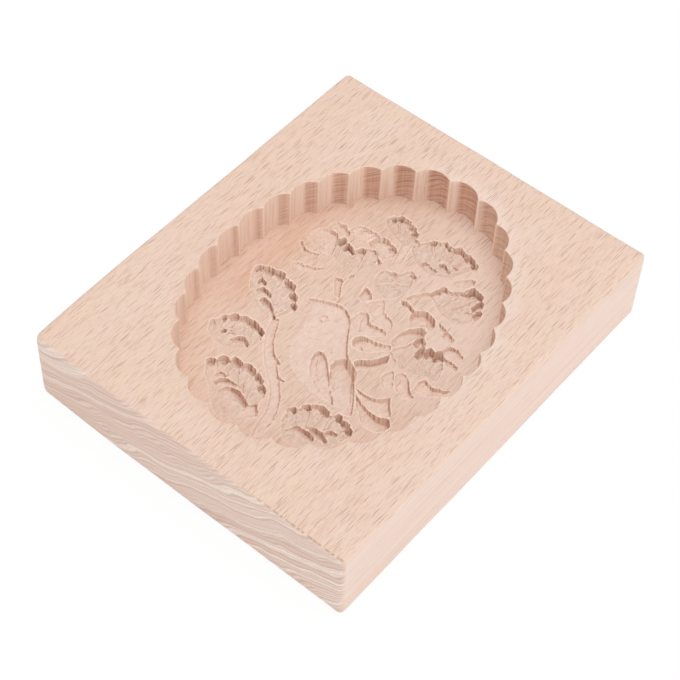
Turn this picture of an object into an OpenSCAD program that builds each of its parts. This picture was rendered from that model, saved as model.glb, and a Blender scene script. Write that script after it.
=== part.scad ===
// Carved wooden cookie mold, in millimetres, standing on its underside with the carved face up.
// One planed beech block with a fluted, egg-shaped hollow; a bird among flowers and leaves is cut below its floor.

/* [Block] */
// Width of the board, across the grain
block_width = 86; // [78:1:110]
// Length of the board, along the grain
block_length = 105; // [96:1:130]
// Planed thickness of the board
block_thickness = 20; // [18:0.5:30]
// Radius of the sanded edges
edge_radius = 1; // [0.4:0.1:2]

/* [Egg-shaped hollow] */
// Flat rim left between the flutes and the long sides of the board
side_rim = 10.2; // [7:0.2:13]
// Flat rim left between the flutes and the ends of the board
end_rim = 9.7; // [7:0.1:13]
// Depth of the hollow, from the top face to its floor
hollow_depth = 10.5; // [7:0.5:12]
// Number of flutes around the wall
flute_count = 30; // [24:1:36]
// Radius of each flute
flute_radius = 5; // [4.6:0.1:7]
// Distance of the first flute from the hollow's far end, as a share of the flutes' spacing
flute_lead = 0.17; // [0:0.01:0.9]
// Shift of the hollow across the board
hollow_shift_x = 0.9; // [-2:0.1:2]
// Shift of the hollow along the board
hollow_shift_y = 0; // [-2:0.1:2]
// Turn of the hollow on the board, in degrees
hollow_turn = 1.9; // [-3:0.1:3]
// Share of its half width that the hollow loses towards its far end and gains towards its near end
egg_share = 0.09; // [0:0.01:0.14]
// Shift of the carved picture along the hollow, towards its wider end
picture_shift = 1; // [0:0.1:2]

/* [Bird] */
// Depth of the bird's body below the floor, at its middle
bird_depth = 2; // [1.2:0.1:3]
// Radius of the rounded bottom of the body
bird_round = 60; // [45:5:120]
// Depth of the wing feathers at their upper edge
wing_depth = 2.4; // [1.4:0.1:3.2]
// Depth of the tail feathers at their upper edge
tail_depth = 1.6; // [0.8:0.1:2.4]
// Radius of the eye
eye_radius = 1; // [0.6:0.1:1.6]

/* [Leaves and stems] */
// Width of the main stem
stem_width = 2.4; // [1.6:0.1:3.4]
// Depth of the stems below the floor
stem_depth = 1.1; // [0.6:0.1:1.8]
// Width of the thin stalks
stalk_width = 1.6; // [1:0.1:2.4]
// Number of lobes on a leaf
leaf_lobes = 7; // [5:1:9]
// Width of a leaf's lobe
lobe_width = 3; // [2.2:0.1:4]
// Depth of the lobes at their tips
leaf_depth = 1.5; // [0.8:0.1:2.4]
// Length of the lowest left leaf
leaf_length_low = 17.5; // [12:0.5:20]
// Length of the lowest right leaf
leaf_length_right = 16; // [12:0.5:19]
// Length of the two small left leaves
leaf_length_left = 13.5; // [9:0.5:16]
// Length of the two top leaves
leaf_length_top = 12.5; // [8:0.5:15]

/* [Flowers] */
// Number of petals around the large flower
petal_count = 12; // [9:1:14]
// Length of the large flower's petals
petal_length = 13; // [9:0.5:15]
// Width of a petal
petal_width = 4; // [2.8:0.1:5.2]
// Depth of the petals at their tips
petal_depth = 1.5; // [0.8:0.1:2.4]
// Depth of the frilled cups at their tips
cup_depth = 2.2; // [1.2:0.1:3]
// Length of the side flower's petals
side_petal_length = 14; // [9:0.5:16]
// Length of the buds
bud_length = 11; // [7:0.5:13]

/* [Hidden] */
$fn = 48;
// Height of a cutter above the surface that it cuts
over = 0.6;
// Depth at which a lobe begins, next to its base
root_depth = 0.15;
// Steps along each curve of an outline
curve_steps = 10;
floor_height = block_thickness - hollow_depth;
half_width = block_width / 2 - side_rim;
half_length = block_length / 2 - end_rim;
flute_half_width = half_width - flute_radius;
flute_half_length = half_length - flute_radius;

// A place in the carved picture, in percent of the hollow's half width and half length.
function place(p) = [p[0] * half_width / 100, p[1] * half_length / 100];

// Points on an egg, and its running length, for flutes at equal spacing.
function egg_point(t) = [flute_half_width * sin(t) * (1 - egg_share * cos(t)), flute_half_length * cos(t)];
function running(t, total = 0) = t >= 360 ? [[total, 360]] :
    concat([[total, t]], running(t + 3, total + norm(egg_point(t + 3) - egg_point(t))));
lengths = running(0);
flute_pitch = lengths[len(lengths) - 1][0] / flute_count;
flute_places = [for (i = [0 : flute_count - 1]) egg_point(lookup((i + flute_lead) * flute_pitch, lengths))];

// A cubic curve through two ends and two handles, without its last point.
function curve(a, b, c, d) = [for (i = [0 : curve_steps - 1]) let (t = i / curve_steps, s = 1 - t)
    place(s * s * s * a + 3 * s * s * t * b + 3 * s * t * t * c + t * t * t * d)];
function heading(p, i) = let (q = p[min(i + 1, len(p) - 1)] - p[max(i - 1, 0)]) q / norm(q);
function side(p, w) = [for (i = [0 : len(p) - 1]) let (h = heading(p, i)) p[i] + w / 2 * [-h[1], h[0]]];
function backward(p) = [for (i = [len(p) - 1 : -1 : 0]) p[i]];

// A rounded rectangle about the origin.
module rounded(width, length) {
    square([width - 2 * edge_radius, length], center = true);
    square([width, length - 2 * edge_radius], center = true);
    for (x = [-1, 1], y = [-1, 1])
        translate([x * (width / 2 - edge_radius), y * (length / 2 - edge_radius)]) circle(edge_radius);
}

// The board with every edge sanded round.
module board() {
    intersection() {
        linear_extrude(block_thickness) rounded(block_width, block_length);
        translate([0, block_length / 2, block_thickness / 2]) rotate([90, 0, 0])
            linear_extrude(block_length) rounded(block_width, block_thickness);
        translate([-block_width / 2, 0, block_thickness / 2]) rotate([90, 0, 90])
            linear_extrude(block_width) rounded(block_length, block_thickness);
    }
}

// The egg with its ring of flutes, seen from above.
module egg() {
    polygon(flute_places);
    for (p = flute_places)
        translate(p) circle(flute_radius);
}

// A drop that widens from its base at the origin to a round tip along X.
module drop(length, width) {
    r = width / 2;
    polygon([[r / 2, r / 3], [length - r, 0.97 * r], [length - r, -0.97 * r], [r / 2, -r / 3]]);
    translate([length - r, 0]) circle(r);
}

// One lobe or petal: a drop whose bottom slopes down from its base to its tip.
module lobe(angle, length, width, depth) {
    rotate([0, 0, angle]) translate([0, 0, -root_depth]) rotate([0, asin((depth - root_depth) / length), 0])
        linear_extrude(depth + over) drop(length, width);
}

// Lobes that spread from one base, longest in the middle of the spread.
module fan(base, count, first, sweep, length, width, depth, end_share) {
    translate(place(base)) {
        for (i = [0 : count - 1])
            let (t = count > 1 ? i / (count - 1) : 0, share = end_share + (1 - end_share) * sin(25 + 125 * t))
                lobe(first + sweep * t, length * share, width, depth);
        translate([0, 0, -root_depth]) cylinder(h = root_depth + over, r = width / 2.4);
    }
}

// A pocket of one depth with upright walls.
module pocket(depth) {
    translate([0, 0, -depth]) linear_extrude(depth + over) children();
}

// A pocket whose bottom slopes down from one place to another.
module sloped(from, to, depth) {
    reach = place(to) - place(from);
    intersection() {
        pocket(depth * 1.5) children();
        translate(place(from)) rotate([0, 0, atan2(reach[1], reach[0])]) rotate([0, atan(depth / norm(reach)), 0])
            translate([-block_length, -block_length, 0]) cube([2 * block_length, 2 * block_length, block_length]);
    }
}

module stem(a, b, c, d, width) {
    path = concat(curve(a, b, c, d), [place(d)]);
    pocket(stem_depth) polygon(concat(side(path, width), backward(side(path, -width))));
    for (end = [a, d])
        translate(place(end)) translate([0, 0, -stem_depth]) cylinder(h = stem_depth + over, r = width * 0.49);
}

module bird() {
    intersection() {
        pocket(bird_depth) polygon(concat(
            [place([-36, 3])],
            curve([-31, 5], [-23, 12], [-8, 12], [0, 4]),
            curve([0, 4], [6, -4], [11, -12], [23, -17]),
            curve([23, -17], [30, -20], [35, -26], [48, -38]),
            curve([48, -38], [34, -46], [6, -47], [-12, -37]),
            curve([-12, -37], [-27, -28], [-29, -13], [-32, -1])));
        translate(concat(place([0, -20]), bird_round - bird_depth)) sphere(bird_round, $fn = 120);
    }
    // Wing of two overlapping feathers
    sloped([14, -45], [32, -18], wing_depth) polygon(concat(
        curve([11, -18], [14, -12], [27, -15], [34, -25]),
        curve([34, -25], [40, -31], [46, -35], [49, -43]),
        curve([49, -43], [37, -44], [15, -31], [11, -18])));
    sloped([4, -46], [14, -20], wing_depth) polygon(concat(
        curve([-2, -20], [2, -17], [9, -19], [14, -25]),
        curve([14, -25], [20, -31], [27, -37], [35, -42]),
        curve([35, -42], [18, -41], [0, -32], [-2, -20])));
    // Forked tail
    sloped([52, -36], [60, -20], tail_depth) polygon(concat(
        curve([37, -26], [46, -27], [53, -26], [58, -20]),
        curve([58, -20], [62, -19], [66, -26], [69, -30]),
        curve([69, -30], [58, -32], [46, -30], [37, -26])));
    sloped([60, -46], [66, -32], tail_depth) polygon(concat(
        curve([41, -30], [49, -33], [61, -35], [73, -31]),
        curve([73, -31], [75, -35], [70, -41], [61, -42]),
        curve([61, -42], [53, -40], [47, -35], [41, -30])));
    // Eye
    translate(concat(place([-18, -2]), -bird_depth)) sphere(eye_radius);
}

module leaves() {
    stem([-41, -18], [-34, -31], [-23, -39], [-13, -45], stem_width);
    stem([-13, -45], [-2, -52], [8, -63], [12, -82], stem_width);
    stem([-14, -44], [-9, -45], [-5, -46], [0, -47], stalk_width);
    stem([-30, 26], [-27, 22], [-22, 18], [-18, 12], stem_width);
    stem([-15, 64], [-12, 60], [-10, 56], [-9, 52], stalk_width);
    stem([16, 39], [19, 42], [22, 45], [26, 48], stalk_width);
    fan([-42, -18], leaf_lobes, 76, 92, leaf_length_left, lobe_width, leaf_depth, 0.3);
    fan([-34, -37], leaf_lobes, 122, 84, leaf_length_left, lobe_width, leaf_depth, 0.3);
    fan([3, -72], leaf_lobes, 116, 78, leaf_length_low, lobe_width, leaf_depth, 0.3);
    fan([13, -70], leaf_lobes, 80, -82, leaf_length_right, lobe_width, leaf_depth, 0.3);
    fan([-2, 57], leaf_lobes, 92, -72, leaf_length_top, lobe_width, leaf_depth, 0.3);
    fan([-15, 64], leaf_lobes, 66, 84, leaf_length_top * 0.62, lobe_width * 0.8, leaf_depth, 0.7);
}

module flowers() {
    // Large flower with its frilled cup
    fan([41, 5], petal_count, 20, 360 - 360 / petal_count, petal_length, petal_width, petal_depth, 0.75);
    fan([44, 6], 5, 100, -84, petal_length * 0.66, petal_width * 0.8, cup_depth, 0.8);
    // Side flower with its frilled cup
    fan([-31, 26], 8, 68, 128, side_petal_length, petal_width, petal_depth, 0.8);
    fan([-32, 27], 5, 84, 60, side_petal_length * 0.66, petal_width * 0.8, cup_depth, 0.8);
    // Bud and small blossom
    fan([26, 48], 5, 60, -72, bud_length, petal_width * 0.8, petal_depth, 0.85);
    fan([-4, 29], 4, 106, -62, bud_length * 0.75, petal_width * 0.8, petal_depth, 0.8);
}

// The block with everything cut out of it.
module mold_block() {
    color("BurlyWood") difference() {
        board();
        translate([hollow_shift_x, hollow_shift_y, floor_height]) {
            linear_extrude(hollow_depth + over) rotate(hollow_turn) egg();
            translate([0, -picture_shift, 0]) {
                bird();
                leaves();
                flowers();
            }
        }
    }
}

mold_block();
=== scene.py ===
"""Looks of the carved cookie mold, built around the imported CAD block.

One beech block replaces the CAD node: a sanded board with a fluted, egg-shaped hollow, and a bird among
flowers and leaves cut below the hollow's floor. Shapes are worked out in millimetres and stored in metres.
"""

import math

import bpy
import numpy as np
from mathutils import Matrix, Vector
from mathutils.geometry import delaunay_2d_cdt


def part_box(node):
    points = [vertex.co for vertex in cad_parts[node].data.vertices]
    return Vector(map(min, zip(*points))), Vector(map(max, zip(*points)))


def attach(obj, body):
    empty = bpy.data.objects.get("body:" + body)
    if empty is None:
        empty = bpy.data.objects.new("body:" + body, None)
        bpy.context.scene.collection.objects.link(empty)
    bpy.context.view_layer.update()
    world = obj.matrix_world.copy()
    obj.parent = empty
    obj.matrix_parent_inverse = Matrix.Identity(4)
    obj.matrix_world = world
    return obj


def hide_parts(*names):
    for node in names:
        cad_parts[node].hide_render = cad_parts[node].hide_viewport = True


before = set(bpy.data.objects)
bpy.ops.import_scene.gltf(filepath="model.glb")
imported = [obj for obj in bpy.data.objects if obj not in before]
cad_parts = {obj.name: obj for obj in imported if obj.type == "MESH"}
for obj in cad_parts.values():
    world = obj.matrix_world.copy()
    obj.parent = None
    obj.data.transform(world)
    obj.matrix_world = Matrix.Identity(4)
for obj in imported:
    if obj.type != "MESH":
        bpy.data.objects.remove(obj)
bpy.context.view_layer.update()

MM = 0.001
low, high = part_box("mold_block")
WIDTH, LENGTH, THICKNESS = [(h - l) / MM for l, h in zip(low, high)]

# Fluted, egg-shaped hollow
SIDE_RIM = 10.2
END_RIM = 9.7
HOLLOW_DEPTH = 10.5
FLUTES = 30
FLUTE_RADIUS = 5.0
FLUTE_LEAD = 0.17
CENTRE = (0.9, 0.0)
EGG_SHARE = 0.09
HOLLOW_TURN = math.radians(1.9)
FLOOR_Z = THICKNESS - HOLLOW_DEPTH
POINTS_PER_FLUTE = 20
RIM_SOFT = 0.3

# Board: sanded edges, rounded corners and one corner that is worn more
EDGE_RADIUS = 1.0
CORNER_RADIUS = 1.3
WORN_CORNER_RADIUS = 2.6
WORN_OVER, WORN_UNDER = 0.9, 1.3
WORN_REACH = 11.0

# Points on the board: their spacing along its outline, the lowest and highest rows on its sides, and a grid
# on its top face that keeps clear of the edges and of the hollow's rim
OUTLINE_PITCH = 2.5
LOWEST_ROW, HIGHEST_ROW = 3.4, THICKNESS - 2.4
TOP_PITCH = 4.0
TOP_HALF_X, TOP_HALF_Y = 40.0, 50.0
EDGE_CLEAR, RIM_CLEAR = 2.6, 1.6

# Carved floor: pitch of its mesh, and scale of all the depths cut into it
PITCH = 0.175
RELIEF = 1.2
LEAST_CUT = 0.002

# Direction along the floor that the carved walls face, towards the near right corner
FRONT = np.array([0.61, -0.79])

# Traces of the cutter: its wandering, its narrow passes, and the fibres that it leaves standing
WANDER = 0.25
PASS_SPACING = 0.95
PASS_HEIGHT = 0.18
NOTCH_OVERLAP = 0.36
NOTCH_WALL = 0.3
VEIN_WIDTH, VEIN_HEIGHT = 0.9, 0.4
FIBRE_HEIGHT = 0.22
TUFT_RADIUS, TUFT_HEIGHT = 1.8, 0.4
TUFTS = ((-17.8, -17.8), (6.5, 29), (-13.4, 23.6), (23.2, 9.8), (-10.5, 31.6), (16.6, 25.2),
         (17.2, -20.6), (-15.2, 22.4), (-12, 21.8), (-8.2, 23), (18.6, 23.6), (12.4, 12.6))

# Angle between faces from which an edge looks crisp, and how pale the painted highlight makes the flutes'
# ridges and rim
CREASE = math.radians(38)
RIDGE_HIGHLIGHT, RIM_HIGHLIGHT = 0.45, 0.15

# Centre of the growth rings, across the grain
RING_X, RING_Z = -117.0, 286.0

# The photograph's camera, from a fit to the block's edges and the ridges between the flutes
PHOTO_PIXELS = 680
FOCAL_PIXELS = 1871.436
SENSOR = 36.0
AZIMUTH, ELEVATION, ROLL = (math.radians(angle) for angle in (37.603, 52.411, -2.763))
VIEW_RIGHT, VIEW_UP, VIEW_BACK = -0.745, 2.178, 420.233

RANDOM = np.random.default_rng(7)


def smooth(t):
    """Eased step from 0 to 1."""
    t = np.clip(t, 0.0, 1.0)
    return t * t * (3.0 - 2.0 * t)


def blurred(field, times):
    """A field averaged with its neighbours a number of times."""
    for _ in range(times):
        padded = np.pad(field, 1, mode="edge")
        field = sum(padded[1 + dy : padded.shape[0] - 1 + dy, 1 + dx : padded.shape[1] - 1 + dx]
                    for dy in (-1, 0, 1) for dx in (-1, 0, 1)) / 9
    return field


def distances(path):
    """How far along a run of points each of them is."""
    return np.concatenate([[0], np.cumsum(np.linalg.norm(np.diff(path, axis=0), axis=1))])


def flowing(points):
    """A smooth run through all points but the first and last, which only give its directions at the ends."""
    points, run = np.array(points, float), []
    t = np.linspace(0, 1, 9)[:-1, None]
    for a, b, c, d in zip(points[:-3], points[1:-2], points[2:-1], points[3:]):
        run.append(b + 0.5 * t * (c - a + t * (2 * a - 5 * b + 4 * c - d + t * (3 * (b - c) + d - a))))
    return np.concatenate(run + [points[-2:-1]])


def flowing_on(points):
    """A smooth run through all points, going straight on at its ends."""
    points = np.array(points, float)
    return flowing([2 * points[0] - points[1], *points, 2 * points[-1] - points[-2]])


def curve(*points):
    """Points along a cubic curve with two ends and two handles."""
    a, b, c, d = np.array(points, float)
    t = np.linspace(0, 1, 13)[:, None]
    return (1 - t) ** 3 * a + 3 * (1 - t) ** 2 * t * b + 3 * (1 - t) * t * t * c + t**3 * d


def nearest(x, y, path):
    """Distance from each place to an open run of points, and how far along the run its nearest point is."""
    least, along = np.full(x.shape, np.inf), np.zeros(x.shape)
    reached = distances(path)
    for (ax, ay), (bx, by), start, end in zip(path[:-1], path[1:], reached[:-1], reached[1:]):
        dx, dy = bx - ax, by - ay
        t = np.clip(((x - ax) * dx + (y - ay) * dy) / (dx * dx + dy * dy + 1e-12), 0, 1)
        away = np.hypot(x - ax - t * dx, y - ay - t * dy)
        along = np.where(away < least, (start + t * (end - start)) / reached[-1], along)
        least = np.minimum(least, away)
    return least, along


def inside_outline(points, loop):
    """Which points lie inside a closed loop."""
    x, y = points[:, 0], points[:, 1]
    inside = np.zeros(len(points), bool)
    for (ax, ay), (bx, by) in zip(loop, np.roll(loop, -1, axis=0)):
        crosses = (ay > y) != (by > y)
        if by != ay:
            inside ^= crosses & (x < (bx - ax) * (y - ay) / (by - ay) + ax)
    return inside


# Outline of the hollow


def egg(turn):
    """Points on the egg of the flutes' centres, from its narrow end, before it is turned and shifted."""
    a, b = WIDTH / 2 - SIDE_RIM - FLUTE_RADIUS, LENGTH / 2 - END_RIM - FLUTE_RADIUS
    return np.stack([a * np.sin(turn) * (1 - EGG_SHARE * np.cos(turn)), b * np.cos(turn)], 1)


def flute_centres():
    """Centres of the flutes, at equal spacing along the egg, the first one a little past its narrow end."""
    turn = np.linspace(0, 2 * math.pi, 7201)
    length = distances(egg(turn))
    at = np.interp((np.arange(FLUTES) + FLUTE_LEAD) * length[-1] / FLUTES, length, turn)
    c, s = math.cos(HOLLOW_TURN), math.sin(HOLLOW_TURN)
    return egg(at) @ np.array([[c, s], [-s, c]]) + CENTRE


def meeting(p, q, radius):
    """The outer of the two points where circles about p and q meet."""
    middle, gap = (p + q) / 2, q - p
    half = np.linalg.norm(gap) / 2
    out = np.array([-gap[1], gap[0]]) / (2 * half)
    if out @ (middle - CENTRE) < 0:
        out = -out
    return middle + out * math.sqrt(radius * radius - half * half)


def fluted_outline(offset):
    """The hollow's outline, offset into the wood by a distance, with equally many points on every flute."""
    centres, radius, points = flute_centres(), FLUTE_RADIUS + offset, []
    for i, c in enumerate(centres):
        start = meeting(centres[i - 1], c, radius) - c
        end = meeting(c, centres[(i + 1) % FLUTES], radius) - c
        first = math.atan2(start[1], start[0])
        sweep = (math.atan2(end[1], end[0]) - first + math.pi) % (2 * math.pi) - math.pi
        for k in range(POINTS_PER_FLUTE):
            angle = first + sweep * k / POINTS_PER_FLUTE
            points.append(c + radius * np.array([math.cos(angle), math.sin(angle)]))
    return np.array(points)


def torn_grain_and_shade():
    """How much the grain tears across each flute, together with painted shade: on its last part going
    clockwise, which is turned away from the light from the right and shadowed by the next ridge, over more of
    it and more strongly where the wall lies across the grain. Flutes face 0 degrees at the far end, 90 at the
    left."""
    out = flute_centres() - CENTRE
    facing = np.degrees(np.arctan2(-out[:, 0], out[:, 1]))
    start = np.interp(facing, (-180, -80, -30, -5, 7, 17, 28, 42, 67, 90, 180),
                      (0.2, -0.2, -0.08, 0.16, 0.28, 0.36, 0.46, 0.52, 0.62, 0.75, 0.8))
    strength = np.interp(facing, (-180, -95, -65, -35, -12, 5, 30, 60, 90, 140, 180),
                         (0.4, 0.5, 0.75, 0.65, 0.78, 0.97, 0.85, 0.7, 0.55, 0.25, 0.4))
    across = np.arange(POINTS_PER_FLUTE) / POINTS_PER_FLUTE
    torn_and_shade = smooth((across - start[:, None] + 0.08) / 0.2) * (1 - 0.4 * smooth((across - 0.85) / 0.15))
    return (strength[:, None] * torn_and_shade).ravel()


# Carving of the floor


def passes(s):
    """How far the wood stands out between the passes of the cutter, at a distance along a wall."""
    return PASS_HEIGHT * (1 - np.abs(np.sin(math.pi * s / PASS_SPACING))) ** 1.5


def spread(depth, along):
    """One depth, or several spread along an edge, at shares of the edge's length."""
    depths = np.atleast_1d(depth)
    return np.interp(along, np.linspace(0, 1, len(depths)), depths)


class Carving:
    """Depth below the hollow's floor on a grid of places, cut one form at a time."""

    def __init__(self, x, y):
        self.x, self.y = np.meshgrid(x, y)
        self.depth, self.tufts, self.grey = (np.zeros_like(self.x) for _ in range(3))
        # The cutter wanders a little, so that no edge is a perfect curve
        wander = [WANDER * blurred(RANDOM.uniform(-1, 1, self.x.shape), 2) for _ in range(2)]
        self.cut_x, self.cut_y = self.x + wander[0], self.y + wander[1]

    def window(self, points, margin):
        """The part of the grid around some points."""
        (x0, y0), (x1, y1) = np.min(points, 0) - margin, np.max(points, 0) + margin
        left, right = np.searchsorted(self.x[0], [x0, x1])
        bottom, top = np.searchsorted(self.y[:, 0], [y0, y1])
        return slice(bottom, top), slice(left, right)

    def cut(self, part, depth):
        """Cut a part of the grid down to a depth, where it isn't deeper already."""
        self.depth[part] = np.maximum(self.depth[part], RELIEF * depth)

    def steps(self, length, *forms, ribbed=False):
        """Walls that drop from the floor and face the near right corner of the board. In front of each wall
        the bottom rises to the floor again over a length. A form is an edge, from left to right, and its
        depth or several depths along it. A ribbed wall shows the passes of the cutter."""
        turn = np.array([[-FRONT[1], FRONT[0]], [FRONT[0], FRONT[1]]])
        for edge, depth in forms:
            edge = np.array(edge, float)
            edge[0] -= NOTCH_OVERLAP * turn[0]
            edge[-1] += NOTCH_OVERLAP * turn[0]
            edge = flowing_on(edge)
            part = self.window(np.concatenate([edge, edge + length * FRONT]), 0.5)
            x, y = self.cut_x[part], self.cut_y[part]
            across, ahead = (turn[k, 0] * x + turn[k, 1] * y for k in (0, 1))
            before = np.full(x.shape, np.inf)
            turned = edge @ turn.T
            for (a, b), (c, d) in zip(turned[:-1], turned[1:]):
                if a != c:
                    gap = ahead - b - (d - b) * (across - a) / (c - a)
                    hit = ((a > across) != (c > across)) & (gap >= 0)
                    before = np.where(hit, np.minimum(before, gap), before)
            before = np.minimum(before, length)
            to_edge, along = nearest(x, y, edge)
            if ribbed:
                to_edge = np.maximum(to_edge - passes(along * distances(edge)[-1]), 0)
            # The recess gets narrower in front of its wall
            side = np.minimum(across - turned[:, 0].min(), turned[:, 0].max() - across)
            narrow = smooth((side - 0.1 * before) / (0.12 + 0.3 * before))
            form = smooth(to_edge / NOTCH_WALL) * (1 - before / length) * narrow
            self.cut(part, np.where(side > 0, spread(depth, along) * form, 0))

    def groove(self, path, widths, depth):
        """A round-bottomed groove along a path, with a width at each end."""
        part = self.window(path, max(widths))
        x, y = self.cut_x[part], self.cut_y[part]
        halves = np.linspace(widths[0] / 2, widths[1] / 2, len(path))
        for (ax, ay), (bx, by), start, end in zip(path[:-1], path[1:], halves[:-1], halves[1:]):
            dx, dy = bx - ax, by - ay
            t = np.clip(((x - ax) * dx + (y - ay) * dy) / (dx * dx + dy * dy), 0, 1)
            away = np.hypot(x - ax - t * dx, y - ay - t * dy)
            inward = 1 - away / (start + t * (end - start))
            bowl = np.sqrt(1 - (1 - np.clip(inward, 0, 1)) ** 2)
            self.cut(part, np.where(inward > 0, depth * (bowl + smooth(3 * inward)) / 2, 0))

    def petal(self, edge, inner, depth, wall=0.35, rise=0.5, ribbed=True, soft=0.35):
        """A closed recess with steep walls, deepest along its edge and shallower, by the share of rise, along
        its inner side. The two runs of points go once round it, along the edge and back along the inner side.
        depth is one depth or several along the edge. A ribbed wall shows the passes of the cutter. wall and
        soft are the widths of the slopes at the edge and at the inner side."""
        edge, inner = flowing([inner[-1], *edge, inner[0]]), flowing([edge[-1], *inner, edge[0]])
        loop = np.concatenate([edge, inner[1:-1]])
        part = self.window(loop, 0.5)
        x, y = self.cut_x[part], self.cut_y[part]
        (to_edge, along), (to_inner, _) = nearest(x, y, edge), nearest(x, y, inner)
        inside = inside_outline(np.stack([x.ravel(), y.ravel()], 1), loop).reshape(x.shape)
        if ribbed:
            to_edge = np.maximum(to_edge - passes(along * distances(edge)[-1]), 0)
        share = 1 - rise * to_edge / (to_inner + to_edge + 1e-9)
        form = share * smooth(to_edge / wall) * smooth(to_inner / soft)
        self.cut(part, np.where(inside, spread(depth, along) * form, 0))

    def ground(self, edge, inner, depth):
        """The shallow, rough ground of a leaf or flower, between its notches and its veins."""
        before = self.depth.copy()
        self.petal(edge, inner, depth, rise=0.3, ribbed=False, soft=0.9)
        self.grey = np.maximum(self.grey, smooth((self.depth - before) / 0.15))

    def ridge(self, path, width, height):
        """A raised line left standing inside a hollow."""
        part = self.window(path, width)
        near, _ = nearest(self.cut_x[part], self.cut_y[part], path)
        before = self.depth[part]
        raised = before - height * smooth(1 - 2 * near / width)
        self.depth[part] = np.maximum(raised, np.minimum(before, 0.02))

    def veins(self, *paths):
        """Thin ridges left standing between the facets of a leaf."""
        for path in paths:
            self.ridge(flowing_on(path), VEIN_WIDTH, VEIN_HEIGHT)

    def eye(self, centre, radius, width, depth):
        """A ring cut below what is there already."""
        part = self.window([centre], radius + 0.75)
        ring = np.hypot(self.x[part] - centre[0], self.y[part] - centre[1])
        self.depth[part] += depth * np.exp(-(((ring - radius) / width) ** 2))

    def fuzz(self, spot):
        """Torn fibres left standing on a spot."""
        part = self.window([spot], TUFT_RADIUS)
        away = np.hypot(self.x[part] - spot[0], self.y[part] - spot[1]) / TUFT_RADIUS
        tufts = blurred(RANDOM.uniform(-1, 1, away.shape), 1) * smooth(1.6 - 1.6 * away)
        self.depth[part] = np.maximum(self.depth[part] + TUFT_HEIGHT * tufts, 0)
        self.tufts[part] = np.maximum(self.tufts[part], smooth(-tufts / 0.3))

    def roughen(self):
        """Fibres that the cutter leaves standing along the grain, all over the cut places. The depth without
        them is kept as clean."""
        self.clean = self.depth
        rough = RANDOM.uniform(-1, 1, self.x.shape)
        rough = sum(np.roll(rough, k, axis=0) for k in range(4)) / 4
        self.depth = np.maximum(self.clean + FIBRE_HEIGHT * rough * smooth(self.clean / 0.3), 0)


def carve_bird(c):
    """Bird with a wing of two overlapping feathers, a forked tail and an eye."""
    rump = [(6.4, -6.4), (8.2, -7.4), (10, -8.2), (11.3, -9.4), (12.1, -11.1), (13.6, -13), (15.2, -15.2),
            (16.9, -18.2)]
    back = [(-10.8, 0.2), (-9.4, 1.2), (-7.4, 2.3), (-5, 3.2), (-3.2, 3.5), (-1.2, 2.8), (0.6, 1.5),
            (2, -0.6), (3.4, -2.8), (5, -5), *rump]
    breast = [(15, -19.4), (10, -20), (4, -19.6), (-1, -18), (-5.2, -14.6), (-7.4, -10), (-8.4, -5),
              (-9.4, -1.2)]
    c.petal(back, breast, 0.7, wall=0.45, rise=0.4, ribbed=False, soft=1.6)
    # Feathers of the wing
    c.petal([(0, -10), (0.1, -9.3), (1.2, -8.8), (2.6, -9.3), (4.6, -11), (8, -14.4), (12, -18.2)],
            [(9, -18), (5, -16.6), (2, -14.4), (0.5, -12)], (1.5, 1.4, 1.1, 1.0), rise=0.2, ribbed=False)
    c.petal([(4.6, -8), (5.3, -6.9), *rump],
            [(15, -19), (11, -17.4), (7.4, -14.4), (5.2, -11)], (2.1, 2.2, 2.2, 2.0, 1.3, 1.1, 1.0),
            wall=1.3, rise=0.4, ribbed=False)
    c.ridge(curve((1.2, -10), (2, -12), (3.5, -13.6), (5.2, -15)), 0.7, 0.3)
    c.ridge(curve((4.6, -9.5), (5.6, -11.2), (7, -12.6), (9, -14.4)), 0.7, 0.35)
    # Tail
    c.petal([(13, -12), (14.4, -11.9), (16.4, -11.8), (18.2, -11.3), (19.3, -10.3), (20.2, -9.2),
             (21.2, -10.3), (22.3, -11.6), (23.4, -12.9)],
            [(22.4, -13.8), (19.5, -14), (16, -13.1)], (0.6, 0.7, 0.9, 1.1, 1.0), ribbed=False)
    c.petal([(14, -13.2), (16, -14), (18, -14.6), (20, -14.8), (22, -14.5), (23.5, -13.7), (24.9, -15)],
            [(24.8, -16.8), (22.6, -18.4), (19.8, -18.2), (16.6, -15.8)],
            (0.6, 0.6, 0.8, 1.4, 1.9, 1.9), ribbed=False)
    c.eye((-4.8, -1.6), radius=0.85, width=0.28, depth=0.4)


def carve_stem(c):
    """Stem with its twigs."""
    c.petal([(-11.6, -8.4), (-9, -13.2), (-6.4, -16.2), (-3.8, -18.4), (0.6, -22.4), (3.8, -26.4),
             (5.5, -31), (5.6, -35)],
            [(4.4, -36), (3.2, -33.4), (2.2, -29), (-0.6, -24.4), (-4.6, -21), (-8.4, -17.6), (-11.6, -13),
             (-13, -9.2)], 0.6, rise=0.2, ribbed=False)
    c.petal([(-7, -16), (-5.2, -16.8), (-3.2, -17.8)], [(-4, -18.6), (-6, -17.6)], 0.9)
    c.petal([(-4, -19.2), (-2.4, -20.2), (0.6, -20.7)], [(-0.6, -21.5), (-3, -20.8)], 0.9)
    c.petal([(-0.3, -28.8), (0.6, -29.8), (1.8, -31.4)], [(0.6, -33.4), (-1.6, -33), (-1.8, -30.6)], 1.1)


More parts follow.
